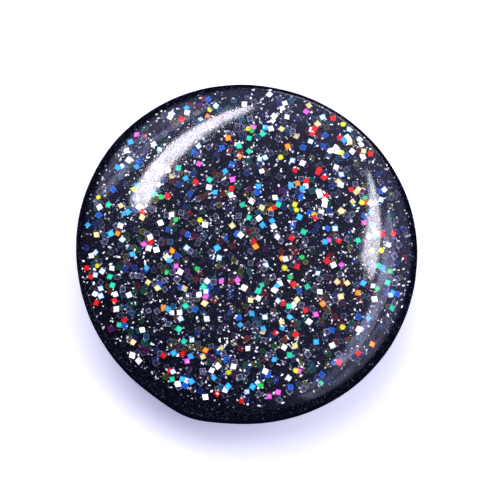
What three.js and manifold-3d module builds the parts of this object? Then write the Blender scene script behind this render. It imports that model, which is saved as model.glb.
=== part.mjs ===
// A round domed enamel pin, lying face up on the wings of its two butterfly clutches.
// Millimetres, +Z up. The floor is z = 0 and the face's axis is the Z axis.
// The posts stand left and right of the middle (-X and +X); each clutch's wings point to the front (-Y) and rear.

import * as THREE from 'three';
import { mergeVertices } from 'three/addons/utils/BufferGeometryUtils.js';
import Module from 'manifold-3d';

const wasm = await Module();
wasm.setup();

// ---- driving dimensions ----

const DISC_RADIUS = 16; // mean radius of the poured face
const CLUTCH_DEPTH = 5.9; // clutch face to wing tips
const CLOTH_GAP = 1; // room for cloth between plate and clutch
const BADGE_THICKNESS = 6.5; // back of the plate to the top of the dome
const POST_OFFSET = 8; // each post from the middle
const FIT = 0.03; // gap between bonded layers

// back plate
const PLATE_RADIUS = 15.1;
const PLATE_SHEET = 0.8;
const PLATE_RIM_HEIGHT = 1.8;
const PLATE_RIM_WALL = 0.55;
const PLATE_EDGE = 0.2; // rounding of the back edge

// poured layers, with heights above the back of the plate
const FLANK_FOOT = 0.3; // lower edge of the black flank
const FLANK_TOP = 3.1; // where the flank meets the clear dome
const GLITTER_RADIUS = 14.9;
const GLITTER_FLOOR = 3.4; // glitter's underside at its edge
const GLITTER_RISE = 0.6; // how much higher the underside is in the middle
const GLITTER_SHOULDER = 14.45; // where the glitter's top surface rounds over to its edge
const CLEAR_COVER = 0.7; // clear epoxy over the glitter
const DOME_FLATNESS = 2.4; // exponents of the dome's curve: a flat middle and a round shoulder
const DOME_SHOULDER = 1.8;

// posts
const POST_RADIUS = 0.575;
const POST_LENGTH = 6.5;
const POST_FOOT_RADIUS = 1.9;
const POST_FOOT_THICKNESS = 0.35;
const POST_POINT = 0.9;
const POST_TIP_RADIUS = 0.12;
const POST_GROOVE_RADIUS = 0.43;
const POST_GROOVE_FROM_TIP = 1.4;
const POST_GROOVE_LENGTH = 0.6;
const SOLDER_RADIUS = 2.4;

// clutch shells
const SHELL_RADIUS = 5.7;
const SHELL_SHEET = 0.35;
const SHELL_HEIGHT = 1.6;
const SHELL_CORNER = 0.8;
const SHELL_HOLE_RADIUS = 0.8;
const LEAD_IN_RADIUS = 1.6;
const LEAD_IN_DEPTH = 0.3;

// clutch springs
const STRIP_SHEET = 0.3;
const STRIP_HALF_WIDTH = 2.2;
const STRIP_HALF_LENGTH = 3.9;
const STRIP_HOLE_RADIUS = 1.75;
const WING_LAP = 0.95; // how far each wing's foot reaches back under the flat middle
const WING_REACH = 5.45; // furthest the middle of the wing's sheet gets from the post
const JAW_HALF_WIDTH = 1.35;
const JAW_OVERLAP = 1.3; // how far a jaw reaches past the post
const JAW_HEIGHT = { front: 2.6, rear: 3.05 }; // the two jaws cross one above the other
const PINCH = 0.55; // how far each wing can be pressed inwards
const SLOT_CLEARANCE = 0.05;

// numbers of sides
const DISC_SIDES = 60;
const SHELL_SIDES = 36;
const POST_SIDES = 20;

// derived heights
const BACK_Z = CLUTCH_DEPTH + CLOTH_GAP;
const TOP_Z = BACK_Z + BADGE_THICKNESS;
const FLANK_TOP_Z = BACK_Z + FLANK_TOP;

// ---- materials ----

function material(color, roughness, metalness, opacity = 1) {
  return new THREE.MeshStandardMaterial({ color, roughness, metalness, opacity, transparent: opacity < 1 });
}

const looks = {
  blackNickel: () => material(0x26262b, 0.3, 1),
  blackEnamel: () => material(0x0b0b12, 0.15, 0),
  glitter: () => material(0x56608a, 0.3, 0.4),
  epoxy: () => material(0xe6e6f0, 0.05, 0, 0.3),
  steel: () => material(0xb4b4b8, 0.3, 1),
  solder: () => material(0x9a9a9e, 0.45, 1),
  nickel: () => material(0xc8c6c0, 0.22, 1),
  spring: () => material(0xb9b7b0, 0.28, 1),
};

// ---- helpers ----

function bare(geometry) {
  const stripped = geometry.index ? geometry.clone() : geometry;
  for (const name of Object.keys(stripped.attributes)) {
    if (name !== 'position') stripped.deleteAttribute(name);
  }
  return mergeVertices(stripped, 1e-5);
}

function solidOf(geometry) {
  const merged = bare(geometry);
  return new wasm.Manifold(new wasm.Mesh({
    numProp: 3,
    vertProperties: new Float32Array(merged.attributes.position.array),
    triVerts: new Uint32Array(merged.index.array),
  }));
}

function geometryOf(solid) {
  const { vertProperties, triVerts } = solid.getMesh();
  const geometry = new THREE.BufferGeometry();
  geometry.setAttribute('position', new THREE.BufferAttribute(vertProperties, 3));
  geometry.setIndex(new THREE.BufferAttribute(triVerts, 1));
  geometry.computeVertexNormals();
  return geometry;
}

// Turns a profile of [radius, height] points, listed anticlockwise, about the Z axis.
function turned(profile, sides) {
  const points = profile.map(([radius, height]) => new THREE.Vector2(radius, height));
  return new THREE.LatheGeometry(points, sides).rotateX(Math.PI / 2);
}

// A flat outline in the XY plane, from height low to height high.
function slab(shape, low, high, curveSegments = 12) {
  const depth = high - low;
  return new THREE.ExtrudeGeometry(shape, { depth, bevelEnabled: false, curveSegments }).translate(0, 0, low);
}

function roundedRectangle(x0, y0, x1, y1, radius) {
  return new THREE.Shape()
    .moveTo(x0 + radius, y0)
    .lineTo(x1 - radius, y0)
    .absarc(x1 - radius, y0 + radius, radius, -Math.PI / 2, 0)
    .lineTo(x1, y1 - radius)
    .absarc(x1 - radius, y1 - radius, radius, 0, Math.PI / 2)
    .lineTo(x0 + radius, y1)
    .absarc(x0 + radius, y1 - radius, radius, Math.PI / 2, Math.PI)
    .lineTo(x0, y0 + radius)
    .absarc(x0 + radius, y0 + radius, radius, Math.PI, 1.5 * Math.PI);
}

function named(name, geometry, look) {
  const mesh = new THREE.Mesh(geometry, look());
  mesh.name = name;
  return mesh;
}

// ---- the badge ----

// The hand-poured edge isn't a true circle: two gentle waves, and a drip at the lower left.
function outline(angle) {
  const drip = (THREE.MathUtils.euclideanModulo(angle, 2 * Math.PI) - 4.38) / 0.178;
  return 1
    + 0.0087 * Math.cos(2 * (angle + 0.911))
    + 0.0038 * Math.cos(3 * (angle - 0.189))
    + 0.0224 * Math.exp(-drip * drip);
}

// Bends a turned layer to the poured edge: nothing moves inside the tray, and the outer skin moves most.
function poured(geometry) {
  const held = PLATE_RADIUS + FIT;
  const position = geometry.attributes.position;
  for (let i = 0; i < position.count; i++) {
    const x = position.getX(i);
    const y = position.getY(i);
    const share = THREE.MathUtils.clamp((Math.hypot(x, y) - held) / (DISC_RADIUS - held), 0, 1);
    const scale = 1 + share * (outline(Math.atan2(y, x)) - 1);
    position.setXY(i, x * scale, y * scale);
  }
  geometry.computeVertexNormals();
  return geometry;
}

// Height of the dome's surface at a radius.
function domeHeight(radius) {
  const fall = Math.min(radius / DISC_RADIUS, 1) ** DOME_FLATNESS;
  return FLANK_TOP_Z + (TOP_Z - FLANK_TOP_Z) * (1 - fall) ** (1 / DOME_SHOULDER);
}

// Height of the glitter layer's underside at a radius.
function glitterFloor(radius) {
  return BACK_Z + GLITTER_FLOOR + GLITTER_RISE * (1 - (radius / GLITTER_RADIUS) ** 2);
}

// A row of [radius, height] points along a surface, from one radius to another.
function along(height, from, to, steps) {
  const points = [];
  for (let i = 0; i <= steps; i++) {
    const radius = THREE.MathUtils.lerp(from, to, i / steps);
    points.push([radius, height(radius)]);
  }
  return points;
}

function backingPlate() {
  const floor = BACK_Z + PLATE_SHEET;
  const rimTop = BACK_Z + PLATE_RIM_HEIGHT;
  const rimInner = PLATE_RADIUS - PLATE_RIM_WALL;
  return turned([
    [0, BACK_Z],
    [PLATE_RADIUS - PLATE_EDGE, BACK_Z],
    [PLATE_RADIUS, BACK_Z + PLATE_EDGE],
    [PLATE_RADIUS, rimTop],
    [rimInner, rimTop],
    [rimInner, floor],
    [0, floor],
  ], DISC_SIDES);
}

function blackEnamel() {
  const rimTop = BACK_Z + PLATE_RIM_HEIGHT + FIT;
  const rimInner = PLATE_RADIUS - PLATE_RIM_WALL - FIT;
  const floor = BACK_Z + PLATE_SHEET + FIT;
  const foot = BACK_Z + FLANK_FOOT;
  const sunkTop = (radius) => glitterFloor(radius) - FIT;
  return poured(turned([
    [0, floor],
    [rimInner, floor],
    [rimInner, rimTop],
    [PLATE_RADIUS + FIT, rimTop],
    [PLATE_RADIUS + FIT, foot],
    [DISC_RADIUS - 0.45, foot],
    [DISC_RADIUS - 0.12, foot + 0.35],
    [DISC_RADIUS, foot + 1],
    [DISC_RADIUS, FLANK_TOP_Z - 0.6],
    [DISC_RADIUS - 0.03, FLANK_TOP_Z - FIT],
    [GLITTER_RADIUS + 0.2, FLANK_TOP_Z - FIT],
    ...along(sunkTop, GLITTER_RADIUS - FIT, 0, 5),
  ], DISC_SIDES));
}

function glitterEnamel() {
  const top = (radius) => domeHeight(radius) - CLEAR_COVER;
  return turned([
    ...along(glitterFloor, 0, GLITTER_RADIUS, 5),
    ...along(top, GLITTER_SHOULDER, 0, 6),
  ], DISC_SIDES);
}

function epoxyDome() {
  const skin = (radius) => domeHeight(radius) - CLEAR_COVER + FIT;
  const shoulder = [0.997, 0.985, 0.96, 0.92, 0.86, 0.78, 0.66, 0.5, 0.28, 0];
  return poured(turned([
    ...along(skin, 0, GLITTER_SHOULDER, 6),
    [GLITTER_RADIUS + FIT, glitterFloor(GLITTER_RADIUS)],
    [GLITTER_RADIUS + 0.2 + FIT, FLANK_TOP_Z],
    [DISC_RADIUS, FLANK_TOP_Z],
    ...shoulder.map((share) => [share * DISC_RADIUS, domeHeight(share * DISC_RADIUS)]),
  ], DISC_SIDES));
}

// ---- the posts ----

function post() {
  const top = BACK_Z - FIT;
  const tip = BACK_Z - POST_LENGTH;
  const foot = top - POST_FOOT_THICKNESS;
  const groove = tip + POST_GROOVE_FROM_TIP;
  return turned([
    [0, tip],
    [POST_TIP_RADIUS, tip],
    [POST_RADIUS, tip + POST_POINT],
    [POST_RADIUS, groove],
    [POST_GROOVE_RADIUS, groove + 0.15],
    [POST_GROOVE_RADIUS, groove + POST_GROOVE_LENGTH - 0.15],
    [POST_RADIUS, groove + POST_GROOVE_LENGTH],
    [POST_RADIUS, foot],
    [POST_FOOT_RADIUS, foot],
    [POST_FOOT_RADIUS, top],
    [0, top],
  ], POST_SIDES);
}

function solder() {
  const top = BACK_Z - FIT;
  const inner = POST_FOOT_RADIUS + FIT;
  const ring = [
    [inner, top - POST_FOOT_THICKNESS],
    [inner + 0.12, top - 0.2],
    [SOLDER_RADIUS, top - 0.04],
    [SOLDER_RADIUS, top],
    [inner, top],
  ];
  return turned([...ring, ring[0]], POST_SIDES);
}

// ---- the clutches, each modelled about its own post ----

function clutchShell() {
  const face = CLUTCH_DEPTH;
  const rim = face - SHELL_HEIGHT;
  const inside = SHELL_RADIUS - SHELL_SHEET;
  const bend = SHELL_RADIUS - SHELL_CORNER;
  const ring = [
    [SHELL_HOLE_RADIUS, face - LEAD_IN_DEPTH - SHELL_SHEET],
    [LEAD_IN_RADIUS, face - SHELL_SHEET],
    [bend, face - SHELL_SHEET],
    [inside, face - SHELL_CORNER],
    [inside, rim],
    [SHELL_RADIUS - 0.1, rim],
    [SHELL_RADIUS, rim + 0.12],
    [SHELL_RADIUS, face - SHELL_CORNER],
    [SHELL_RADIUS - 0.25, face - 0.25],
    [bend, face],
    [LEAD_IN_RADIUS, face],
    [SHELL_HOLE_RADIUS, face - LEAD_IN_DEPTH],
  ];
  return turned([...ring, ring[0]], SHELL_SIDES);
}

function stripTop() {
  return CLUTCH_DEPTH - SHELL_SHEET - FIT;
}

function springStrip() {
  const shape = roundedRectangle(-STRIP_HALF_WIDTH, -STRIP_HALF_LENGTH, STRIP_HALF_WIDTH, STRIP_HALF_LENGTH, 0.1);
  shape.holes.push(new THREE.Path().absarc(0, 0, STRIP_HOLE_RADIUS, 0, 2 * Math.PI, true));
  return slab(shape, stripTop() - STRIP_SHEET, stripTop(), 14);
}

// The middle of a wing's sheet, seen from the side: out from its foot, down round the ear, and in to the jaw.
function wingPath(jawHeight) {
  const foot = stripTop() - STRIP_SHEET * 1.5 - FIT;
  const ground = STRIP_SHEET / 2;
  const shoulder = 4.55; // stays inside the shell's rim
  const earWidth = 2.2;
  const earHeight = 2.05;
  const corner = 0.55;
  const inner = WING_REACH - earWidth;
  const jawBend = inner - 0.85;
  return new THREE.Path()
    .moveTo(STRIP_HALF_LENGTH - WING_LAP, foot)
    .lineTo(shoulder - corner, foot)
    .absarc(shoulder - corner, foot - corner, corner, Math.PI / 2, 0, true)
    .lineTo(shoulder, CLUTCH_DEPTH - SHELL_HEIGHT)
    .bezierCurveTo(shoulder + 0.05, 3.4, WING_REACH, 3.1, WING_REACH, ground + earHeight)
    .absellipse(WING_REACH - earWidth / 2, ground + earHeight, earWidth / 2, earHeight, 0, -Math.PI, true)
    .quadraticCurveTo(inner, jawHeight, jawBend, jawHeight)
    .lineTo(-JAW_OVERLAP, jawHeight);
}

// Gives a path the thickness of the sheet, as a closed outline.
function sheetOutline(path) {
  const points = path.getPoints(9).filter((point, i, all) => i === 0 || point.distanceTo(all[i - 1]) > 1e-3);
  const sides = [[], []];
  points.forEach((point, i) => {
    const ahead = points[Math.min(i + 1, points.length - 1)];
    const behind = points[Math.max(i - 1, 0)];
    const way = ahead.clone().sub(behind).normalize();
    const across = new THREE.Vector2(-way.y, way.x).multiplyScalar(STRIP_SHEET / 2);
    sides[0].push(point.clone().add(across));
    sides[1].push(point.clone().sub(across));
  });
  return new THREE.Shape([...sides[0], ...sides[1].reverse()]);
}

// A wing pointing along +Y: the bent sheet, trimmed to its outline from above and to its rounded ear from the side.
function wing(jawHeight) {
  const bent = new THREE.ExtrudeGeometry(sheetOutline(wingPath(jawHeight)), {
    depth: 2 * STRIP_HALF_WIDTH,
    bevelEnabled: false,
  });
  // the outline was drawn as (y, z); lay it into that plane, centred on x = 0
  bent.translate(0, 0, -STRIP_HALF_WIDTH);
  bent.applyMatrix4(new THREE.Matrix4().makeBasis(
    new THREE.Vector3(0, 1, 0),
    new THREE.Vector3(0, 0, 1),
    new THREE.Vector3(1, 0, 0),
  ));

  const reach = WING_REACH + STRIP_SHEET;
  const neck = 2.6; // where the narrow jaw widens to the full strip
  const plan = new THREE.Shape()
    .moveTo(-JAW_HALF_WIDTH, neck)
    .lineTo(-JAW_HALF_WIDTH, 0.4 - JAW_OVERLAP)
    .lineTo(0.4 - JAW_HALF_WIDTH, -JAW_OVERLAP)
    .lineTo(JAW_HALF_WIDTH - 0.4, -JAW_OVERLAP)
    .lineTo(JAW_HALF_WIDTH, 0.4 - JAW_OVERLAP)
    .lineTo(JAW_HALF_WIDTH, neck)
    .lineTo(STRIP_HALF_WIDTH, neck + 0.6)
    .lineTo(STRIP_HALF_WIDTH, reach)
    .lineTo(-STRIP_HALF_WIDTH, reach)
    .lineTo(-STRIP_HALF_WIDTH, neck + 0.6);
  const slotRadius = POST_RADIUS + SLOT_CLEARANCE;
  const slotEnd = PINCH + SLOT_CLEARANCE;
  plan.holes.push(new THREE.Path()
    .absarc(0, 0, slotRadius, 0, Math.PI, true)
    .lineTo(-slotRadius, slotEnd)
    .absarc(0, slotEnd, slotRadius, Math.PI, 0, true));

  const earCorner = 1.2;
  const end = roundedRectangle(-STRIP_HALF_WIDTH, 0, STRIP_HALF_WIDTH, CLUTCH_DEPTH + earCorner, earCorner);
  const ear = slab(end, -reach, JAW_OVERLAP, 6).rotateX(Math.PI / 2);
  const trimmed = solidOf(bent)
    .intersect(solidOf(slab(plan, -1, CLUTCH_DEPTH, 8)))
    .intersect(solidOf(ear));
  return geometryOf(trimmed);
}

function clutch(side) {
  const group = new THREE.Group();
  group.add(named(`${side}_clutch_shell`, clutchShell(), looks.nickel));
  group.add(named(`${side}_spring_strip`, springStrip(), looks.spring));
  const rear = named(`${side}_wing_rear`, wing(JAW_HEIGHT.rear), looks.spring);
  const front = named(`${side}_wing_front`, wing(JAW_HEIGHT.front), looks.spring);
  front.rotation.z = Math.PI;
  group.add(rear, front);
  return group;
}

// ---- the pin ----

const pin = new THREE.Group();
pin.add(named('backing_plate', backingPlate(), looks.blackNickel));
pin.add(named('black_enamel', blackEnamel(), looks.blackEnamel));
pin.add(named('glitter_enamel', glitterEnamel(), looks.glitter));
pin.add(named('epoxy_dome', epoxyDome(), looks.epoxy));
for (const [side, sign] of [['left', -1], ['right', 1]]) {
  const station = new THREE.Group();
  station.position.x = sign * POST_OFFSET;
  station.add(named(`${side}_post`, post(), looks.steel));
  station.add(named(`${side}_solder`, solder(), looks.solder));
  station.add(clutch(side));
  pin.add(station);
}

export default pin;
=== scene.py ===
"""A round enamel pin: black resin full of holographic glitter under a clear dome, on two butterfly clutches.

Metres, +Z up, in the frame of the CAD model. The pin lies face up on its clutches' wings, and -Y is the
bottom of the face.
"""

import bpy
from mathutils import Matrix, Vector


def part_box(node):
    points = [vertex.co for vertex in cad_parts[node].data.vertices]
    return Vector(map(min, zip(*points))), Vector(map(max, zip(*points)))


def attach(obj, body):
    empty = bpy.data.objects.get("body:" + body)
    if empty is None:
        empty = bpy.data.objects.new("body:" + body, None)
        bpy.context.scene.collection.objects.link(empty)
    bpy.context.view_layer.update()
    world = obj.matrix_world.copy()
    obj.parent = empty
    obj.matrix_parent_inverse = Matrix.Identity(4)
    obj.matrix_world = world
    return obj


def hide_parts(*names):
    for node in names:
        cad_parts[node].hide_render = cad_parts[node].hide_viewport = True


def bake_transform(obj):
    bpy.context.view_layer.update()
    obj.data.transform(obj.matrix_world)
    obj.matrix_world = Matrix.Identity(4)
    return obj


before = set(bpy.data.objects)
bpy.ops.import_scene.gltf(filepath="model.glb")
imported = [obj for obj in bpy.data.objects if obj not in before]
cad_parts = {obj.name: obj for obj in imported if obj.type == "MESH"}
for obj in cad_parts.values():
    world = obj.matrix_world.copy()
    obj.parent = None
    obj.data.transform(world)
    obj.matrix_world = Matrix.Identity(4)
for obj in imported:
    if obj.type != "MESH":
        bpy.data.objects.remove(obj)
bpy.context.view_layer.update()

import math
import random

import bpy
from mathutils import Matrix, Vector, noise

MM = 0.001

# ---- sizes, from the frame ----

DOME_BASE, DOME_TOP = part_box("epoxy_dome")
TOP_Z = DOME_TOP.z
SHOULDER_Z = DOME_BASE.z  # where the clear dome meets the black flank
PLATE_LOW, PLATE_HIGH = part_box("backing_plate")
BACK_Z = PLATE_LOW.z
PLATE_RADIUS = PLATE_HIGH.x
GLITTER_LOW, GLITTER_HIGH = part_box("glitter_enamel")
GLITTER_RADIUS = GLITTER_HIGH.x

# ---- driving sizes, the same as the CAD model's ----

DISC_RADIUS = 16 * MM  # mean radius of the poured face
POST_X = {"left": -8 * MM, "right": 8 * MM}
PLATE_SHEET = 0.8 * MM
PLATE_WALL = 0.55 * MM  # the rim that stands round the plate
FLANK_FOOT = 0.3 * MM  # lower edge of the black flank, above the back of the plate
GLITTER_RISE = 0.6 * MM  # how much higher the glitter's underside is in the middle
GLITTER_SHOULDER = 14.45 * MM  # where the glitter's top surface rounds over to its edge
CLEAR_COVER = 0.7 * MM  # clear epoxy over the glitter
DOME_FLATNESS = 2.4  # exponents of the dome's curve: a flat middle and a round shoulder
DOME_SHOULDER = 1.8
FIT = 0.03 * MM  # gap between bonded layers
FLAKE_SIZE = 0.5 * MM

TRAY_RADIUS = PLATE_RADIUS - PLATE_WALL
TRAY_FLOOR = BACK_Z + PLATE_SHEET
DRIP_AT, DRIP_WIDTH, DRIP_SIZE = 4.38, 0.178, 0.0224  # an angle, an angle and a share of the radius

# numbers of sides
DISC_SIDES = 256
PLATE_SIDES = 192
SHELL_SIDES = 128
SOLDER_SIDES = 96
POST_SIDES = 64


def lerp(a, b, t):
    return a + (b - a) * t


def smooth(t):
    t = min(max(t, 0.0), 1.0)
    return t * t * (3 - 2 * t)


def poured_edge(angle):
    """How far the hand-poured edge is from a true circle: two gentle waves, and a drip at the lower left."""
    drip = (angle % math.tau - DRIP_AT) / DRIP_WIDTH
    waves = 0.0087 * math.cos(2 * (angle + 0.911)) + 0.0038 * math.cos(3 * (angle - 0.189))
    return 1 + waves + DRIP_SIZE * math.exp(-drip * drip)


def dome_height(radius):
    """Height of the clear dome's surface: a flat middle and a round shoulder."""
    fall = min(radius / DISC_RADIUS, 1) ** DOME_FLATNESS
    return SHOULDER_Z + (TOP_Z - SHOULDER_Z) * (1 - fall) ** (1 / DOME_SHOULDER)


def glitter_floor(radius):
    """Height of the glitter layer's underside, which is a shallow dome."""
    return GLITTER_LOW.z + GLITTER_RISE * (1 - (radius / GLITTER_RADIUS) ** 2)


# ---- node helpers ----


class Nodes:
    """A node tree, with short ways to add nodes to it."""

    def __init__(self, tree):
        self.tree = tree

    def add(self, kind, inputs=None, **settings):
        node = self.tree.nodes.new(kind)
        for key, value in settings.items():
            setattr(node, key, value)
        for key, value in (inputs or {}).items():
            self.feed(node.inputs[key], value)
        return node

    def feed(self, socket, value):
        """Links a node's output to the socket, or sets the socket to a value."""
        if isinstance(value, bpy.types.NodeSocket):
            self.tree.links.new(value, socket)
        else:
            socket.default_value = value

    def place(self, stretch=(1, 1, 1)):
        """The point on the object, in metres, stretched along its axes."""
        where = self.add("ShaderNodeTexCoord").outputs["Object"]
        return self.add("ShaderNodeMapping", {"Vector": where, "Scale": stretch}).outputs["Vector"]

    def noise(self, size, detail=2.0, roughness=0.5, stretch=(1, 1, 1)):
        """A noise whose blobs are about size across, from 0 to 1."""
        inputs = {"Vector": self.place(stretch), "Scale": 1 / size, "Detail": detail, "Roughness": roughness}
        return self.add("ShaderNodeTexNoise", inputs).outputs["Fac"]

    def span(self, value, low, high, to_low, to_high, **settings):
        """Maps low..high to to_low..to_high."""
        inputs = {"Value": value, "From Min": low, "From Max": high, "To Min": to_low, "To Max": to_high}
        return self.add("ShaderNodeMapRange", inputs, **settings).outputs["Result"]

    def mix(self, share, a, b, blend="MIX"):
        node = self.add("ShaderNodeMix", data_type="RGBA", blend_type=blend)
        for socket, value in ((node.inputs[0], share), (node.inputs[6], a), (node.inputs[7], b)):
            self.feed(socket, value)
        return node.outputs[2]

    def math(self, operation, a, b=0.0):
        node = self.add("ShaderNodeMath", operation=operation)
        self.feed(node.inputs[0], a)
        self.feed(node.inputs[1], b)
        return node.outputs["Value"]

    def grey(self, value):
        channels = {"Red": value, "Green": value, "Blue": value}
        return self.add("ShaderNodeCombineColor", channels).outputs["Color"]

    def bump(self, height, distance, strength=1.0):
        inputs = {"Height": height, "Distance": distance, "Strength": strength}
        return self.add("ShaderNodeBump", inputs).outputs["Normal"]


class Shader(Nodes):
    """A material and its nodes."""

    def __init__(self, name):
        self.material = bpy.data.materials.new(name)
        self.material.use_nodes = True
        super().__init__(self.material.node_tree)
        self.surface = self.tree.nodes["Principled BSDF"]
        self.output = self.tree.nodes["Material Output"]

    def set(self, **values):
        """Sets or links the Principled sockets, named with underscores for spaces."""
        for key, value in values.items():
            self.feed(self.surface.inputs[key.replace("_", " ")], value)

    def show(self, closure):
        """Shows a closure of another kind in place of the Principled one."""
        self.tree.nodes.remove(self.surface)
        self.tree.links.new(closure, self.output.inputs["Surface"])


def colour(text):
    """A colour as it is seen, such as ff8800, as linear red, green, blue and alpha."""
    values = [int(text[i : i + 2], 16) / 255 for i in (0, 2, 4)]
    return (*(v / 12.92 if v <= 0.04045 else ((v + 0.055) / 1.055) ** 2.4 for v in values), 1)


# ---- materials ----


def speckle(shader, cell, size, chance):
    """Scattered dots of dust, one in some of the cells, each with a brightness of its own."""
    node = shader.add("ShaderNodeTexVoronoi", {"Vector": shader.place(), "Scale": 1 / cell}, feature="F1")
    dot = shader.span(node.outputs["Distance"], size / cell, 0.6 * size / cell, 0, 1)
    own = shader.add("ShaderNodeSeparateColor", {"Color": node.outputs["Color"]}).outputs
    shown = shader.math("LESS_THAN", own["Red"], chance)
    strength = shader.math("POWER", own["Green"], 2.0)
    return shader.math("MULTIPLY", shader.math("MULTIPLY", dot, shown), strength)


def black_enamel_material():
    """Near-black navy resin, dusted with fine silver that thins out on the flank."""
    shader = Shader("black_enamel")
    cloud = shader.noise(1.6 * MM, detail=4)
    base = shader.mix(cloud, (0.0014, 0.0016, 0.0040, 1), (0.0038, 0.0044, 0.0110, 1))
    height = shader.add("ShaderNodeSeparateXYZ", {"Vector": shader.place()}).outputs["Z"]
    on_face = shader.span(height, SHOULDER_Z - 0.5 * MM, SHOULDER_Z + 0.1 * MM, 0.12, 1)
    fine = speckle(shader, 0.13 * MM, 0.045 * MM, 0.75)
    coarse = speckle(shader, 0.30 * MM, 0.085 * MM, 0.6)
    dust = shader.math("MULTIPLY", shader.math("MAXIMUM", fine, coarse), on_face)
    shader.set(
        Base_Color=shader.mix(dust, base, (0.11, 0.12, 0.23, 1)),
        Roughness=shader.span(shader.noise(0.8 * MM, detail=3), 0, 1, 0.16, 0.32),
        Specular_IOR_Level=0.0,
        Normal=shader.bump(shader.noise(0.5 * MM, detail=3), 0.01 * MM, 0.4),
    )
    return shader.material


def clear_epoxy_material():
    """Clear resin: what is under it shows through, and its skin mirrors the lights a little unevenly.

    The mirror's colours are above 1 and the softboxes dimmer to match, which keeps the highlights clean.
    """
    shader = Shader("clear_epoxy")
    pits = shader.bump(shader.noise(0.3 * MM, detail=0), 0.0015 * MM)
    swell = {"Height": shader.noise(2.5 * MM, detail=1), "Distance": 0.006 * MM, "Normal": pits}
    skin = shader.add("ShaderNodeBump", swell).outputs["Normal"]
    dull = shader.span(shader.noise(0.13 * MM, detail=2, roughness=0.7), 0.35, 0.65, 0, 1)
    shine = shader.mix(dull, (2.7, 2.7, 2.7, 1), (1.6, 1.52, 1.75, 1))
    rough = shader.span(dull, 0, 1, 0.06, 0.12)
    mirror = shader.add("ShaderNodeBsdfGlossy", {"Color": shine, "Roughness": rough, "Normal": skin})
    through = shader.add("ShaderNodeBsdfTransparent", {"Color": (0.97, 0.97, 0.98, 1)})
    outside = shader.add("ShaderNodeAttribute", attribute_name="skin").outputs["Fac"]
    fresnel = shader.add("ShaderNodeFresnel", {"IOR": 1.5}).outputs["Fac"]
    share = shader.math("MULTIPLY", shader.span(fresnel, 0.04, 0.3, 0.14, 0.24), outside)
    closures = {"Fac": share, 1: through.outputs["BSDF"], 2: mirror.outputs["BSDF"]}
    shader.show(shader.add("ShaderNodeMixShader", closures).outputs["Shader"])
    return shader.material


def flake_material(name, core, rim, painted_glint):
    """Holographic foil: a core and a rim colour, each flake brighter or dimmer, a fine ruled grain, and a
    painted glint.
    """
    shader = Shader(name)
    edge = shader.add("ShaderNodeAttribute", attribute_name="rim").outputs["Fac"]
    own = shader.add("ShaderNodeAttribute", attribute_name="tone").outputs["Fac"]
    grain = shader.span(shader.noise(0.12 * MM, detail=2), 0.3, 0.7, 0.75, 1.25)
    tone = shader.grey(shader.math("MULTIPLY", own, grain))
    foil = shader.mix(1.0, shader.mix(edge, core, rim), tone, "MULTIPLY")
    shader.set(
        Base_Color=foil,
        Metallic=0.2,
        Roughness=shader.span(grain, 0.75, 1.25, 0.3, 0.5),
        # painted glint: the foil's own colour glows by this strength, standing in for foil that catches the
        # lights
        Emission_Color=foil,
        Emission_Strength=painted_glint,
    )
    shader.material.cycles.emission_sampling = "NONE"
    return shader.material


def metal_material(name, tint, rough, grain, stretch=(1, 1, 1), pits=0.3):
    """Plated metal: uneven polish, fine grain of a size in metres, and tarnish in patches."""
    shader = Shader(name)
    patches = shader.span(shader.noise(2.2 * MM, detail=4, roughness=0.6), 0.45, 0.8, 0, 0.35)
    fine = shader.noise(grain, detail=3, roughness=0.6, stretch=stretch)
    polish = shader.span(fine, 0.3, 0.7, rough * 0.8, rough * 1.25)
    tarnished = shader.mix(0.5, tint, (0.02, 0.02, 0.02, 1))
    shader.set(
        Base_Color=shader.mix(patches, tint, tarnished),
        Metallic=1.0,
        Roughness=shader.math("ADD", polish, shader.math("MULTIPLY", patches, 0.3)),
        Normal=shader.bump(fine, 0.01 * MM, pits),
    )
    return shader.material


# ---- mesh helpers ----


def show_object(name, data):
    made = bpy.data.objects.new(name, data)
    bpy.context.scene.collection.objects.link(made)
    return made


def make_piece(name, vertices, faces, material, body, stands_for=()):
    """A finished piece: a smooth mesh with its material, riding on a body."""
    mesh = bpy.data.meshes.new(name)
    mesh.from_pydata(vertices, [], faces)
    mesh.validate()
    mesh.materials.append(material)
    mesh.shade_smooth()
    mesh.set_sharp_from_angle(angle=math.radians(38))
    piece = show_object(name, mesh)
    if body:
        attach(piece, body)
    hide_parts(*stands_for)
    return piece


def filleted(corners, steps=5):
    """Rounds a profile's corners, each of them (radius, height, fillet), except for the first and the last."""
    points = []
    for i, (r, z, fillet) in enumerate(corners):
        here = Vector((r, z))
        if fillet == 0 or i in (0, len(corners) - 1):
            points.append(tuple(here))
            continue
        before = (Vector(corners[i - 1][:2]) - here).normalized()
        after = (Vector(corners[i + 1][:2]) - here).normalized()
        for k in range(steps + 1):
            t = k / steps
            start, end = here + before * fillet, here + after * fillet
            points.append(tuple(lerp(lerp(start, here, t), lerp(here, end, t), t)))
    return points


def turned(profile, sides, centre_x=0.0, bend=None):
    """Turns an anticlockwise (radius, height) profile about a vertical axis; bend moves each point."""
    vertices, rings = [], []
    for radius, height in profile:
        if radius < 1e-9:
            rings.append([len(vertices)] * sides)
            vertices.append((0.0, 0.0, height))
            continue
        rings.append(range(len(vertices), len(vertices) + sides))
        for k in range(sides):
            angle = math.tau * k / sides
            vertices.append((radius * math.cos(angle), radius * math.sin(angle), height))
    faces = []
    closed = profile[0] == profile[-1]
    if closed:
        rings[-1] = rings[0]
    for low, high in zip(rings, rings[1:]):
        for k in range(sides):
            after = (k + 1) % sides
            loop = [low[k], low[after], high[after], high[k]]
            face = [v for j, v in enumerate(loop) if v != loop[j - 1]]
            if len(face) > 2:
                faces.append(face)
    if closed:
        vertices = vertices[: rings[-2][-1] + 1]
    if bend:
        vertices = [bend(*v) for v in vertices]
    return [(x + centre_x, y, z) for x, y, z in vertices], faces


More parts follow.
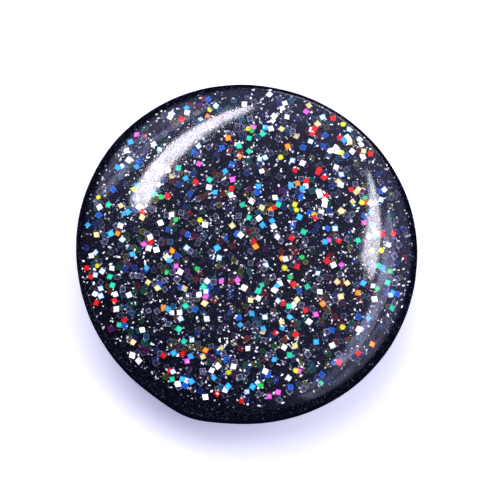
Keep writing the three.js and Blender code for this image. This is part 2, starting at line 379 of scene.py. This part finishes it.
RIPPLE_HEIGHT = 0.03 * MM
RIPPLE_SIZE = 3 * MM


def poured(x, y, z):
    """Bends a turned layer to the poured edge, and makes it a little uneven, as a hand pour is."""
    radius = math.hypot(x, y)
    share = smooth((radius - PLATE_RADIUS) / (DISC_RADIUS - PLATE_RADIUS))
    scale = 1 + share * (poured_edge(math.atan2(y, x)) - 1)
    ripple = RIPPLE_HEIGHT * noise.noise(Vector((x, y, z)) / RIPPLE_SIZE) * share
    scale += ripple / max(radius, MM)
    return x * scale, y * scale, z


# ---- the badge ----


def along(height, start, end, steps):
    """Points of a profile whose height is a function of its radius."""
    return [(r, height(r)) for r in (lerp(start, end, i / steps) for i in range(steps + 1))]


def backing_plate():
    """A stamped tray with a low rim, in black nickel."""
    rim_top = PLATE_HIGH.z
    edge = 0.1 * MM
    profile = filleted([
        (0, BACK_Z, 0),
        (PLATE_RADIUS, BACK_Z, 0.22 * MM),
        (PLATE_RADIUS, rim_top, edge),
        (TRAY_RADIUS, rim_top, edge),
        (TRAY_RADIUS, TRAY_FLOOR, edge),
        (0, TRAY_FLOOR, 0),
    ])
    vertices, faces = turned(profile, PLATE_SIDES)
    tint = (0.085, 0.085, 0.095, 1)
    look = metal_material("black_nickel", tint, 0.30, 0.09 * MM, pits=0.5)
    make_piece("back_plate", vertices, faces, look, "badge", ["backing_plate"])


def black_enamel():
    """The opaque ground: it fills the tray, wraps round it, and ends in a rounded flank."""
    rim_top = PLATE_HIGH.z + FIT
    inner = TRAY_RADIUS - FIT
    floor = TRAY_FLOOR + FIT
    around = PLATE_RADIUS + FIT
    foot = BACK_Z + FLANK_FOOT
    flank = filleted([
        (0, floor, 0),
        (inner, floor, 0),
        (inner, rim_top, 0),
        (around, rim_top, 0),
        (around, foot, 0.05 * MM),
        (DISC_RADIUS, foot, 0.75 * MM),
        (DISC_RADIUS, SHOULDER_Z - FIT, 0.05 * MM),
        (GLITTER_RADIUS + 0.2 * MM, SHOULDER_Z - FIT, 0.1 * MM),
        (GLITTER_RADIUS - 0.1 * MM, glitter_floor(GLITTER_RADIUS) - FIT, 0.1 * MM),
    ], steps=8)
    top = along(lambda r: glitter_floor(r) - FIT, GLITTER_RADIUS - 0.3 * MM, 0, 12)
    vertices, faces = turned(flank[:-1] + top, DISC_SIDES, bend=poured)
    look = black_enamel_material()
    make_piece("black_resin", vertices, faces, look, "badge", ["black_enamel"])


# The dome's mirror fades out at a share of its radius, where it would begin to mirror the floor.
MIRROR_ENDS = 0.942
MIRROR_FADE = 0.025
MIRROR_FURTHER = 0.022  # how much further out it goes at the lower right


def mirror_share(x, y):
    """How much of its mirror the dome's skin keeps at a place."""
    lower_right = max(0.0, (0.64 * x - 0.77 * y) / DISC_RADIUS - 0.35)
    ends = MIRROR_ENDS + MIRROR_FURTHER * lower_right
    return 1 - smooth((math.hypot(x, y) / DISC_RADIUS - ends) / MIRROR_FADE)


def clear_dome():
    """The clear cap over the glitter. Its attribute skin is 0 where it is bonded and 1 where it mirrors."""
    inside = along(lambda r: dome_height(r) - CLEAR_COVER + FIT, 0, GLITTER_SHOULDER, 16)
    under = [
        (GLITTER_RADIUS + FIT, glitter_floor(GLITTER_RADIUS)),
        (GLITTER_RADIUS + 0.2 * MM + FIT, SHOULDER_Z),
        (DISC_RADIUS - 0.02 * MM, SHOULDER_Z),
    ]
    steps = 56
    over = []
    for i in range(steps + 1):
        radius = DISC_RADIUS * math.cos(math.pi / 2 * i / steps)
        over.append((radius if i < steps else 0.0, dome_height(radius)))
    vertices, faces = turned(inside + under + over, DISC_SIDES, bend=poured)
    dome = make_piece("clear_dome", vertices, faces, clear_epoxy_material(), "badge", ["epoxy_dome"])
    bonded = 1 + DISC_SIDES * (len(inside) + len(under) - 1)
    skin = [0.0] * bonded + [mirror_share(x, y) for x, y, _ in vertices[bonded:]]
    dome.data.attributes.new("skin", "FLOAT", "POINT").data.foreach_set("value", skin)


# ---- the glitter ----

GLITTER_SPREAD = 0.42 * MM  # how far the glitter strays past its CAD layer
SPARSE_AT, SPARSE_WIDTH = 4.6, 1.1  # angles: where the edge is bare, at the bottom of the face
SPARSE_DEPTH = 0.5 * MM
FLAKES_SHORT = -0.2 * MM  # flakes stop before the reach, dust goes past it
DUST_FURTHER = 0.25 * MM
CHIP_COVER = 0.3 * MM  # clear resin over the highest chips
CHIP_CLEARANCE = 0.05 * MM  # under the lowest
CHIP_LEAN = 0.2
FLAKES_APART = 0.27 * MM
DRIFT_SIZE = 1.5 * MM
FLAKE_SHEET = 0.02 * MM
DUST_SHEET = 0.015 * MM

# name, how many, sides, (nearest, deepest) share of the layer, core colour, rim colour, painted glint's
# strength
FLAKES = [
    ("silver_bright", 97, 4, (0.0, 0.4), "ffffff", "f0f0ff", 0.6),
    ("silver_dull", 150, 4, (0.1, 0.8), "34344e", "acaed4", 0.0),
    ("silver_deep", 190, 4, (0.4, 1.0), "1c1c2e", "666888", 0.0),
    ("ice", 34, 4, (0.0, 0.4), "f4ffff", "2cacff", 0.4),
    ("sky", 48, 4, (0.0, 0.5), "44ccff", "1484f0", 0.3),
    ("blue", 46, 4, (0.1, 0.7), "1058d8", "2c8cff", 0.1),
    ("navy", 84, 4, (0.4, 1.0), "102464", "2050b4", 0.0),
    ("steel_blue", 44, 4, (0.3, 1.0), "0c3e58", "2488b0", 0.0),
    ("turquoise", 30, 4, (0.0, 0.5), "30f0c0", "0cb894", 0.25),
    ("sea_green", 54, 4, (0.4, 1.0), "043c38", "0e7868", 0.0),
    ("green", 12, 6, (0.0, 0.5), "30e868", "0ca044", 0.2),
    ("bottle_green", 46, 6, (0.4, 1.0), "08381c", "0e6e38", 0.0),
    ("yellow", 20, 6, (0.0, 0.4), "fcf834", "b0b00c", 0.3),
    ("olive", 54, 6, (0.3, 1.0), "46480e", "94962a", 0.0),
    ("champagne", 32, 4, (0.0, 0.5), "fff8bc", "e8cc7c", 0.3),
    ("khaki", 40, 4, (0.4, 1.0), "3e3a28", "8c8460", 0.0),
    ("orange", 16, 4, (0.0, 0.5), "ffb41c", "ff4c0c", 0.35),
    ("rust", 26, 4, (0.4, 1.0), "5c1e06", "a03a12", 0.0),
    ("red", 46, 4, (0.0, 0.6), "ff2014", "e0120c", 0.25),
    ("dark_red", 46, 4, (0.4, 1.0), "500608", "961416", 0.0),
    ("magenta", 18, 4, (0.0, 0.5), "ff78f0", "d02cb4", 0.3),
    ("plum", 50, 4, (0.4, 1.0), "3e0e48", "7a2474", 0.0),
]

# name, how many, (smallest, largest) size in mm, colour, painted glint's strength
SPECKS = [
    ("spark", 1650, (0.12, 0.28), "f8f8ff", 0.6),
    ("dust_bright", 1500, (0.09, 0.18), "b0b4ec", 0.2),
    ("dust_dim", 2800, (0.08, 0.17), "2c315a", 0.0),
]


def oval_outline(sides, long, short):
    """A polygon with its corners on an ellipse."""
    angles = [math.tau * k / sides for k in range(sides)]
    return [(long * math.cos(angle), short * math.sin(angle)) for angle in angles]


def foil_prism(centre, normal, turn, outline, thickness, inset=None):
    """A thin foil chip: its vertices, faces, and how near each vertex is to the chip's rim.

    With an inset, its top has a smaller copy of the outline, so that the rim can have a colour of its own.
    """
    lean = Vector((0, 0, 1)).rotation_difference(normal).to_matrix().to_4x4()
    place = Matrix.Translation(centre) @ lean @ Matrix.Rotation(turn, 4, "Z")
    count = len(outline)
    up, down = thickness / 2, -thickness / 2
    points = [(x, y, up) for x, y in outline] + [(x, y, down) for x, y in outline]
    faces = [[2 * count - 1 - k for k in range(count)]]
    rims = [1.0] * (2 * count)
    for k in range(count):
        faces.append([count + k, count + (k + 1) % count, (k + 1) % count, k])
    if inset:
        points += [(x * inset, y * inset, up) for x, y in outline]
        rims += [0.0] * count
        faces.append([2 * count + k for k in range(count)])
        for k in range(count):
            after = (k + 1) % count
            faces.append([k, after, 2 * count + after, 2 * count + k])
    else:
        faces.append(list(range(count)))
    return [place @ Vector(p) for p in points], faces, rims


def glitter_reach(angle):
    """How far out the glitter lies: nearly to the edge, a little less at the bottom of the face."""
    away = (angle % math.tau - SPARSE_AT) / SPARSE_WIDTH
    return GLITTER_RADIUS + GLITTER_SPREAD - SPARSE_DEPTH * math.exp(-(away**4))


def layer_point(dice, beyond, near, deep):
    """A random place in the glitter layer, and the way up there."""
    angle = math.tau * dice.random()
    radius = (glitter_reach(angle) + beyond) * math.sqrt(dice.random())
    top = dome_height(radius) - CHIP_COVER
    floor = max(glitter_floor(min(radius, GLITTER_RADIUS)), SHOULDER_Z) + CHIP_CLEARANCE
    height = lerp(max(top, floor), floor, lerp(near, deep, dice.random()))
    step = 0.1 * MM
    slope = (dome_height(radius + step) - dome_height(radius)) / step
    way_up = Vector((-slope * math.cos(angle), -slope * math.sin(angle), 2.0))
    lean = Vector((dice.gauss(0, CHIP_LEAN), dice.gauss(0, CHIP_LEAN), 0))
    place = Vector((radius * math.cos(angle), radius * math.sin(angle), height))
    return place, (way_up + lean).normalized()


def glitter_piece(name, chips, look):
    """Joins many chips into one piece, with the attributes its material reads."""
    vertices, faces, rims, tones = [], [], [], []
    for (chip_vertices, chip_faces, chip_rims), tone in chips:
        start = len(vertices)
        vertices += chip_vertices
        faces += [[start + v for v in face] for face in chip_faces]
        rims += chip_rims
        tones += [tone] * len(chip_vertices)
    piece = make_piece(f"glitter_{name}", vertices, faces, look, "badge", ["glitter_enamel"])
    for key, values in (("rim", rims), ("tone", tones)):
        piece.data.attributes.new(key, "FLOAT", "POINT").data.foreach_set("value", values)


def is_crowded(place, taken, apart):
    """Whether a flake would lie on one that is already there."""
    cell = (int(place.x // apart), int(place.y // apart))
    near = [(cell[0] + dx, cell[1] + dy) for dx in (-1, 0, 1) for dy in (-1, 0, 1)]
    if any((place.xy - other).length < apart for key in near for other in taken.get(key, [])):
        return True
    taken.setdefault(cell, []).append(place.xy.copy())
    return False


def flakes():
    """The big square and hexagonal flakes, drifted into loose clusters as they settled."""
    dice = random.Random(20)
    taken = {}
    for name, count, sides, (near, deep), core, rim, painted_glint in FLAKES:
        chips = []
        while len(chips) < count:
            place, way_up = layer_point(dice, FLAKES_SHORT, near, deep)
            drift = noise.noise(Vector((place.x, place.y, 0)) / DRIFT_SIZE)
            if dice.random() > 0.5 + 1.2 * drift or is_crowded(place, taken, FLAKES_APART):
                continue
            size = FLAKE_SIZE * dice.uniform(0.9, 1.1)
            reach = size / (2 * math.cos(math.pi / sides))
            stretch = dice.uniform(0.93, 1.07)
            outline = oval_outline(sides, reach * stretch, reach / stretch)
            chip = foil_prism(place, way_up, dice.uniform(0, math.tau), outline, FLAKE_SHEET, 0.66)
            dimmest, brightest = (0.8, 1.25) if painted_glint else (0.6, 1.6)
            chips.append((chip, dice.uniform(dimmest, brightest)))
        glitter_piece(name, chips, flake_material(f"foil_{name}", colour(core), colour(rim), painted_glint))


def specks():
    """Fine glitter dust: slivers and crumbs of silver foil."""
    dice = random.Random(7)
    for name, count, (smallest, largest), tint, painted_glint in SPECKS:
        chips = []
        for _ in range(count):
            place, way_up = layer_point(dice, DUST_FURTHER, 0.0, 1.0)
            size = dice.uniform(smallest, largest) * MM / 2
            sides = dice.choice((3, 4, 4, 5))
            long, short = size * dice.uniform(1.0, 1.6), size * dice.uniform(0.55, 0.95)
            outline = oval_outline(sides, long, short)
            chip = foil_prism(place, way_up, dice.uniform(0, math.tau), outline, DUST_SHEET)
            chips.append((chip, dice.uniform(0.4, 1.3)))
        tone = colour(tint)
        # specks with a painted glint glow with their own colour, standing in for foil that catches the lights
        glitter_piece(name, chips, flake_material(f"foil_{name}", tone, tone, painted_glint))


# ---- posts and clutches ----


def post(side, look):
    """A nail post: a wide foot, a shaft with a groove for the clutch, and a point."""
    low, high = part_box(f"{side}_post")
    tip, top = low.z, high.z
    shaft = 0.575 * MM
    foot = (high.x - low.x) / 2
    under_foot = top - 0.35 * MM
    groove = tip + 1.4 * MM
    waist = 0.43 * MM
    profile = filleted([
        (0, tip, 0),
        (0.12 * MM, tip, 0.05 * MM),
        (shaft, tip + 0.9 * MM, 0.15 * MM),
        (shaft, groove, 0.05 * MM),
        (waist, groove + 0.15 * MM, 0.05 * MM),
        (waist, groove + 0.45 * MM, 0.05 * MM),
        (shaft, groove + 0.6 * MM, 0.05 * MM),
        (shaft, under_foot, 0.15 * MM),
        (foot, under_foot, 0.08 * MM),
        (foot, top, 0.08 * MM),
        (0, top, 0),
    ], steps=4)
    vertices, faces = turned(profile, POST_SIDES, POST_X[side])
    make_piece(f"{side}_nail_post", vertices, faces, look, "badge", [f"{side}_post"])


def solder(side, look):
    """A lumpy fillet round the post's foot."""
    low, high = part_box(f"{side}_solder")
    foot = 1.93 * MM
    reach = (high.x - low.x) / 2
    fillet = []
    for k in range(9):
        t = k / 8
        fillet.append((lerp(foot, reach, t), lerp(low.z, high.z - 0.03 * MM, 1 - (1 - t) ** 2)))
    ring = fillet + [(reach, high.z), (foot, high.z), fillet[0]]

    def lumpy(x, y, z):
        lump = 1 + 0.05 * noise.noise(Vector((x, y, z + POST_X[side])) / (0.7 * MM))
        scale = lump if math.hypot(x, y) > foot * 1.01 else 1
        return x * scale, y * scale, z

    vertices, faces = turned(ring, SOLDER_SIDES, POST_X[side], bend=lumpy)
    make_piece(f"{side}_solder_fillet", vertices, faces, look, "badge", [f"{side}_solder"])


def clutch_shell(side, look):
    """A stamped cap: dished lead-in, a raised ring, a rolled rim."""
    low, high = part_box(f"{side}_clutch_shell")
    face, rim = high.z, low.z
    radius = (high.x - low.x) / 2
    sheet = 0.35 * MM
    hole, lead = 0.8 * MM, 1.6 * MM
    mouth = face - 0.3 * MM  # the edge of the hole, at the bottom of the lead-in
    flat = face - 0.08 * MM
    under = face - sheet
    ring_at, ring_half = 3.2 * MM, 0.3 * MM
    profile = filleted([
        (hole, mouth - sheet, 0),
        (lead, under, 0.2 * MM),
        (ring_at - ring_half, under, 0.1 * MM),
        (ring_at, under + 0.12 * MM, 0.1 * MM),
        (ring_at + ring_half, under, 0.1 * MM),
        (radius - sheet, under, 0.55 * MM),
        (radius - sheet, rim + 0.05 * MM, 0.05 * MM),
        (radius - 0.1 * MM, rim, 0.08 * MM),
        (radius, rim + 0.15 * MM, 0.12 * MM),
        (radius, face, 0.8 * MM),
        (ring_at + ring_half, flat, 0.1 * MM),
        (ring_at, face, 0.1 * MM),
        (ring_at - ring_half, flat, 0.1 * MM),
        (lead, flat, 0.2 * MM),
        (hole, mouth, 0.05 * MM),
        (hole, mouth - sheet, 0),
    ], steps=6)
    vertices, faces = turned(profile, SHELL_SIDES, POST_X[side])
    stands_for = [f"{side}_clutch_shell"]
    make_piece(f"{side}_clutch_cap", vertices, faces, look, f"{side}_clutch", stands_for)


def arc(centre, radii, start, end, steps):
    """An ellipse's points after its start, with the angles in degrees."""
    points = []
    for k in range(1, steps + 1):
        angle = math.radians(lerp(start, end, k / steps))
        points.append((centre[0] + radii[0] * math.cos(angle), centre[1] + radii[1] * math.sin(angle)))
    return points


def curve(start, a, b, end, steps):
    """A cubic Bezier curve's points after its start."""
    points = []
    for k in range(1, steps + 1):
        t = k / steps
        u = 1 - t
        points.append(tuple(
            u**3 * p + 3 * u * u * t * q + 3 * u * t * t * r + t**3 * s
            for p, q, r, s in zip(start, a, b, end)
        ))
    return points


def line(start, end, step=0.06):
    """A straight line's points after its start."""
    count = max(1, round(math.dist(start, end) / step))
    return [tuple(lerp(p, q, k / count) for p, q in zip(start, end)) for k in range(1, count + 1)]


# the clutch springs, in mm from the post and up from the floor
STRIP_HALF_WIDTH = 2.2
STRIP_HOLE = 1.75
JAW_HALF_WIDTH = 1.35
JAW_REACH = 1.3  # how far a jaw goes past the post
JAW_Z = {"front": 2.6, "rear": 3.05}  # the two jaws cross one above the other
SLOT_HALF_WIDTH = 0.625
SLOT_RUN = 0.6
NECK_Z = 4.3
SPRING_SHEET = 0.3


def spring_path(strip_z, jaw_z):
    """The middle of half a clutch spring's strip, in mm from the post: the flat, the ear, and the jaw."""
    shoulder, corner, reach, ground = 4.55, 0.65, 5.45, 0.15
    ear_wide, ear_high = 2.2, 2.05
    inner = reach - ear_wide
    start = (0.0, strip_z)
    flat_end = (shoulder - corner, strip_z)
    neck = (shoulder, NECK_Z)
    ear_top = (reach, ground + ear_high)
    path = [start, *line(start, flat_end)]
    path += arc((shoulder - corner, strip_z - corner), (corner, corner), 90, 0, 10)
    path += line(path[-1], neck)
    path += curve(neck, (shoulder + 0.05, 3.4), (reach, 3.1), ear_top, 16)
    path += arc((reach - ear_wide / 2, ground + ear_high), (ear_wide / 2, ear_high), 0, -180, 32)
    bend = (inner - 0.85, jaw_z)
    path += curve((inner, ground + ear_high), (inner, jaw_z - 0.3), (inner - 0.3, jaw_z), bend, 12)
    path += line(bend, (-JAW_REACH, jaw_z))
    return path


def half_width(out, z, in_jaw):
    """Half the strip's width at a point of its path, in mm: waisted at the neck, wider at the ear."""
    if in_jaw:
        full = lerp(JAW_HALF_WIDTH, STRIP_HALF_WIDTH, smooth(out - 2.3))
        return full - 0.5 * max(0.0, (-0.9 - out) / 0.4) ** 2
    waist = 0.35 * math.exp(-(((z - NECK_Z) / 0.7) ** 2)) * (out > 3)
    ear = 0.25 * smooth((3.6 - z) / 1.6)
    round_end = 0.6 * smooth((1.6 - z) / 1.5)
    return STRIP_HALF_WIDTH - waist + ear - round_end


def half_hole(out, in_jaw):
    """Half the width of the hole round the post, in mm: round in the flat, a slot in the jaw."""
    if not in_jaw:
        return math.sqrt(max(0.0, STRIP_HOLE**2 - out**2))
    past = max(-out, out - SLOT_RUN, 0.0)
    return math.sqrt(max(0.0, SLOT_HALF_WIDTH**2 - past**2))


def spring_half(side, end, look):
    """One half of a clutch spring's strip, from the middle of its flat to the tip of its jaw."""
    strip_low, strip_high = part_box(f"{side}_spring_strip")
    strip_z = (strip_low.z + strip_high.z) / 2
    way = {"front": -1, "rear": 1}[end]
    path = spring_path(strip_z / MM, JAW_Z[end])
    lowest = min(range(len(path)), key=lambda i: path[i][1])
    columns = 6
    vertices, faces = [], []
    for i, (out, z) in enumerate(path):
        in_jaw = i > lowest and out < 3.3 and z > 1.6
        hole = half_hole(out, in_jaw) if (in_jaw or z > 5) else 0.0
        edge = half_width(out, z, in_jaw)
        for sign in (-1, 1):
            for k in range(columns + 1):
                across = sign * lerp(hole, edge, k / columns)
                vertices.append((POST_X[side] + across * MM, way * out * MM, z * MM))
    row = 2 * (columns + 1)
    for i in range(len(path) - 1):
        for rail in (0, columns + 1):
            for k in range(columns):
                a = i * row + rail + k
                quad = [a, a + 1, a + row + 1, a + row]
                faces.append(quad if (rail == 0) == (way == 1) else quad[::-1])
    mesh = bpy.data.meshes.new("sheet")
    mesh.from_pydata(vertices, [], faces)
    finish_spring(side, end, mesh, look)


def finish_spring(side, end, sheet, look):
    """Welds the sheet's middle and gives it its thickness and soft edges."""
    blank = show_object("blank", sheet)
    weld = blank.modifiers.new("weld", "WELD")
    weld.merge_threshold = 0.002 * MM
    solid = blank.modifiers.new("sheet", "SOLIDIFY")
    solid.thickness = SPRING_SHEET * MM
    solid.offset = 0
    solid.use_even_offset = True
    bevel = blank.modifiers.new("edge", "BEVEL")
    bevel.width = 0.05 * MM
    bevel.segments = 2
    bevel.limit_method = "ANGLE"
    bevel.angle_limit = math.radians(50)
    made = bpy.data.meshes.new_from_object(blank.evaluated_get(bpy.context.evaluated_depsgraph_get()))
    vertices = [tuple(v.co) for v in made.vertices]
    faces = [list(p.vertices) for p in made.polygons]
    bpy.data.objects.remove(blank)
    stands_for = [f"{side}_spring_strip", f"{side}_wing_{end}"]
    piece = make_piece(f"{side}_spring_{end}", vertices, faces, look, None, stands_for)
    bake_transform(piece)


def hardware():
    """Both posts, with their solder and their clutches."""
    steel = metal_material("post_steel", (0.55, 0.55, 0.57, 1), 0.22, 0.06 * MM, stretch=(1, 1, 4))
    tin = metal_material("solder_tin", (0.42, 0.42, 0.44, 1), 0.42, 0.2 * MM, pits=0.8)
    nickel = metal_material("bright_nickel", (0.66, 0.64, 0.59, 1), 0.17, 0.12 * MM)
    spring = metal_material("spring_nickel", (0.60, 0.585, 0.54, 1), 0.24, 0.07 * MM, stretch=(6, 1, 1))
    for side in POST_X:
        post(side, steel)
        solder(side, tin)
        clutch_shell(side, nickel)
        for end in ("front", "rear"):
            spring_half(side, end, spring)


# ---- the studio ----

CAMERA_TILT = math.radians(12)  # from straight above, towards the bottom of the face
CAMERA_AWAY = 0.45
VIEW_WIDTH = 46.85 * MM  # what the picture's width covers at the face
VIEW_HEIGHT = 9.0 * MM  # the height that the camera is aimed at
VIEW_SHIFT = (0.36 * MM, 0.27 * MM)  # the face sits a little left of and below the picture's middle
PANEL_HEIGHT = 0.5
# the lights that throw the shadow: place, size across, power
KEYS = {
    "key_behind": ((-0.10, 0.30, 1.2), 0.7, 12.8),
    "key_right": ((0.65, -0.10, 1.2), 0.6, 11.2),
}

# Softboxes hang level above the pin, and the dome mirrors them. Each has a strength, the size of its patches
# and a tint. Its outline has two curved sides, each a start, two handles and an end, (x, y) for each metre of
# height over the face.
LAVENDER = (0.93, 0.91, 1.0, 1)
PALE_BLUE = (0.62, 0.65, 1.0, 1)
PANELS = {
    "softbox_left": (3.6, 12 * MM, LAVENDER, [
        ((-0.53, 0.46), (-0.50, 0.70), (-0.25, 0.95), (0.05, 1.42)),
        ((0.05, 1.42), (0.05, 1.05), (-0.30, 0.70), (-0.38, 0.37)),
    ]),
    "softbox_right": (2.7, 12 * MM, LAVENDER, [
        ((0.85, 0.90), (0.78, 0.55), (0.70, 0.25), (0.60, 0.07)),
        ((0.47, 0.18), (0.52, 0.35), (0.70, 0.60), (0.85, 0.90)),
    ]),
    "glow_left": (0.62, 70 * MM, PALE_BLUE, [
        ((-1.45, 1.08), (-0.95, 1.00), (-0.52, 1.05), (-0.36, 1.57)),
        ((-0.30, 1.40), (-0.35, 0.95), (-1.00, 0.30), (-1.45, 1.08)),
    ]),
    "glow_right": (0.9, 70 * MM, PALE_BLUE, [
        ((0.98, 0.56), (1.15, 0.30), (0.95, -0.30), (0.72, -0.58)),
        ((0.52, -0.50), (0.65, -0.15), (0.65, 0.15), (0.85, 0.45)),
    ]),
    "haze_left": (0.36, 150 * MM, PALE_BLUE, [
        ((-0.45, 1.70), (-0.60, 1.05), (-1.10, 0.95), (-2.30, 1.45)),
        ((-2.40, 2.30), (-2.20, 2.65), (-1.50, 3.50), (-0.75, 3.00)),
    ]),
    "haze_right": (0.30, 150 * MM, PALE_BLUE, [
        ((0.35, -0.75), (0.75, -0.60), (0.90, -0.25), (1.25, -0.25)),
        ((1.90, -0.55), (3.55, -1.90), (1.55, -3.15), (0.55, -1.20)),
    ]),
}


def camera():
    """The photo's view: the face from above, a little from the bottom."""
    data = bpy.data.cameras.new("camera")
    data.sensor_width = 36
    data.lens = data.sensor_width * CAMERA_AWAY / VIEW_WIDTH
    data.clip_start = 0.01
    view = show_object("camera", data)
    back = Vector((0, -math.sin(CAMERA_TILT), math.cos(CAMERA_TILT)))
    up = Vector((0, math.cos(CAMERA_TILT), math.sin(CAMERA_TILT)))
    target = Vector((VIEW_SHIFT[0], 0, VIEW_HEIGHT)) + up * VIEW_SHIFT[1]
    view.location = target + back * CAMERA_AWAY
    view.rotation_euler = (CAMERA_TILT, 0, 0)
    bpy.context.scene.camera = view


def key_lights():
    """Two big soft lights, behind and to the right, which the dome doesn't mirror."""
    for name, (place, size, power) in KEYS.items():
        data = bpy.data.lights.new(name, "AREA")
        data.size = size
        data.energy = power
        data.color = (1.0, 0.99, 0.98)
        key = show_object(name, data)
        key.location = place
        key.rotation_euler = Vector(place).to_track_quat("Z", "Y").to_euler()
        key.visible_glossy = False


def emitter(name, tint, strength, patch):
    """A lit cloth, brighter and dimmer in patches of a size."""
    shader = Shader(name)
    uneven = shader.span(shader.noise(patch, detail=1), 0.35, 0.65, 0.5 * strength, 1.3 * strength)
    shader.show(shader.add("ShaderNodeEmission", {"Color": tint, "Strength": uneven}).outputs["Emission"])
    return shader.material


def panels():
    """The softboxes, with fainter glows and hazes beside them. Sides that meet share a corner."""
    for name, (strength, patch, tint, sides) in PANELS.items():
        corners = dict.fromkeys(corner for side in sides for corner in (side[0], *curve(*side, 12)))
        mesh = bpy.data.meshes.new(name)
        vertices = [(x * PANEL_HEIGHT, y * PANEL_HEIGHT, PANEL_HEIGHT + TOP_Z) for x, y in corners]
        mesh.from_pydata(vertices, [], [range(len(corners))])
        mesh.materials.append(emitter(name, tint, strength, patch))
        show_object(name, mesh)


def floor():
    """A pale floor, with a faint emission in place of the light that a white room sends into the shadow."""
    mesh = bpy.data.meshes.new("floor")
    far = 4.0
    mesh.from_pydata([(-far, -far, 0), (far, -far, 0), (far, far, 0), (-far, far, 0)], [], [(0, 1, 2, 3)])
    shader = Shader("floor_paint")
    tone = shader.span(shader.noise(60 * MM, detail=2), 0, 1, 0.89, 0.91)
    shader.set(
        Base_Color=shader.grey(tone),
        Roughness=0.9,
        Specular_IOR_Level=0.1,
        Emission_Color=(0.35, 0.35, 0.55, 1),
        Emission_Strength=1.0,
    )
    shader.material.cycles.emission_sampling = "NONE"
    mesh.materials.append(shader.material)
    show_object("floor", mesh)


def surroundings():
    """A bluish room: bright behind the pin and low down, dark overhead and on the camera's side."""
    world = bpy.data.worlds.new("room")
    world.use_nodes = True
    nodes = Nodes(world.node_tree)
    where = nodes.add("ShaderNodeTexCoord").outputs["Generated"]
    height = nodes.add("ShaderNodeSeparateXYZ", {"Vector": where}).outputs["Z"]
    sides = {0: where, 1: (0.74, 0.67, 0)}
    towards = nodes.add("ShaderNodeVectorMath", sides, operation="DOT_PRODUCT").outputs["Value"]
    overhead = nodes.span(height, 0.5, 1.0, 1.0, 0.42, interpolation_type="SMOOTHSTEP")
    behind = nodes.span(towards, -0.75, 0.45, 0.012, 0.185, interpolation_type="SMOOTHSTEP")
    room = world.node_tree.nodes["Background"]
    nodes.feed(room.inputs["Color"], (0.52, 0.55, 1.0, 1))
    nodes.feed(room.inputs["Strength"], nodes.math("MULTIPLY", overhead, behind))
    bpy.context.scene.world = world


backing_plate()
black_enamel()
clear_dome()
flakes()
specks()
hardware()
camera()
key_lights()
panels()
floor()
surroundings()
bpy.context.scene.view_settings.view_transform = "Standard"
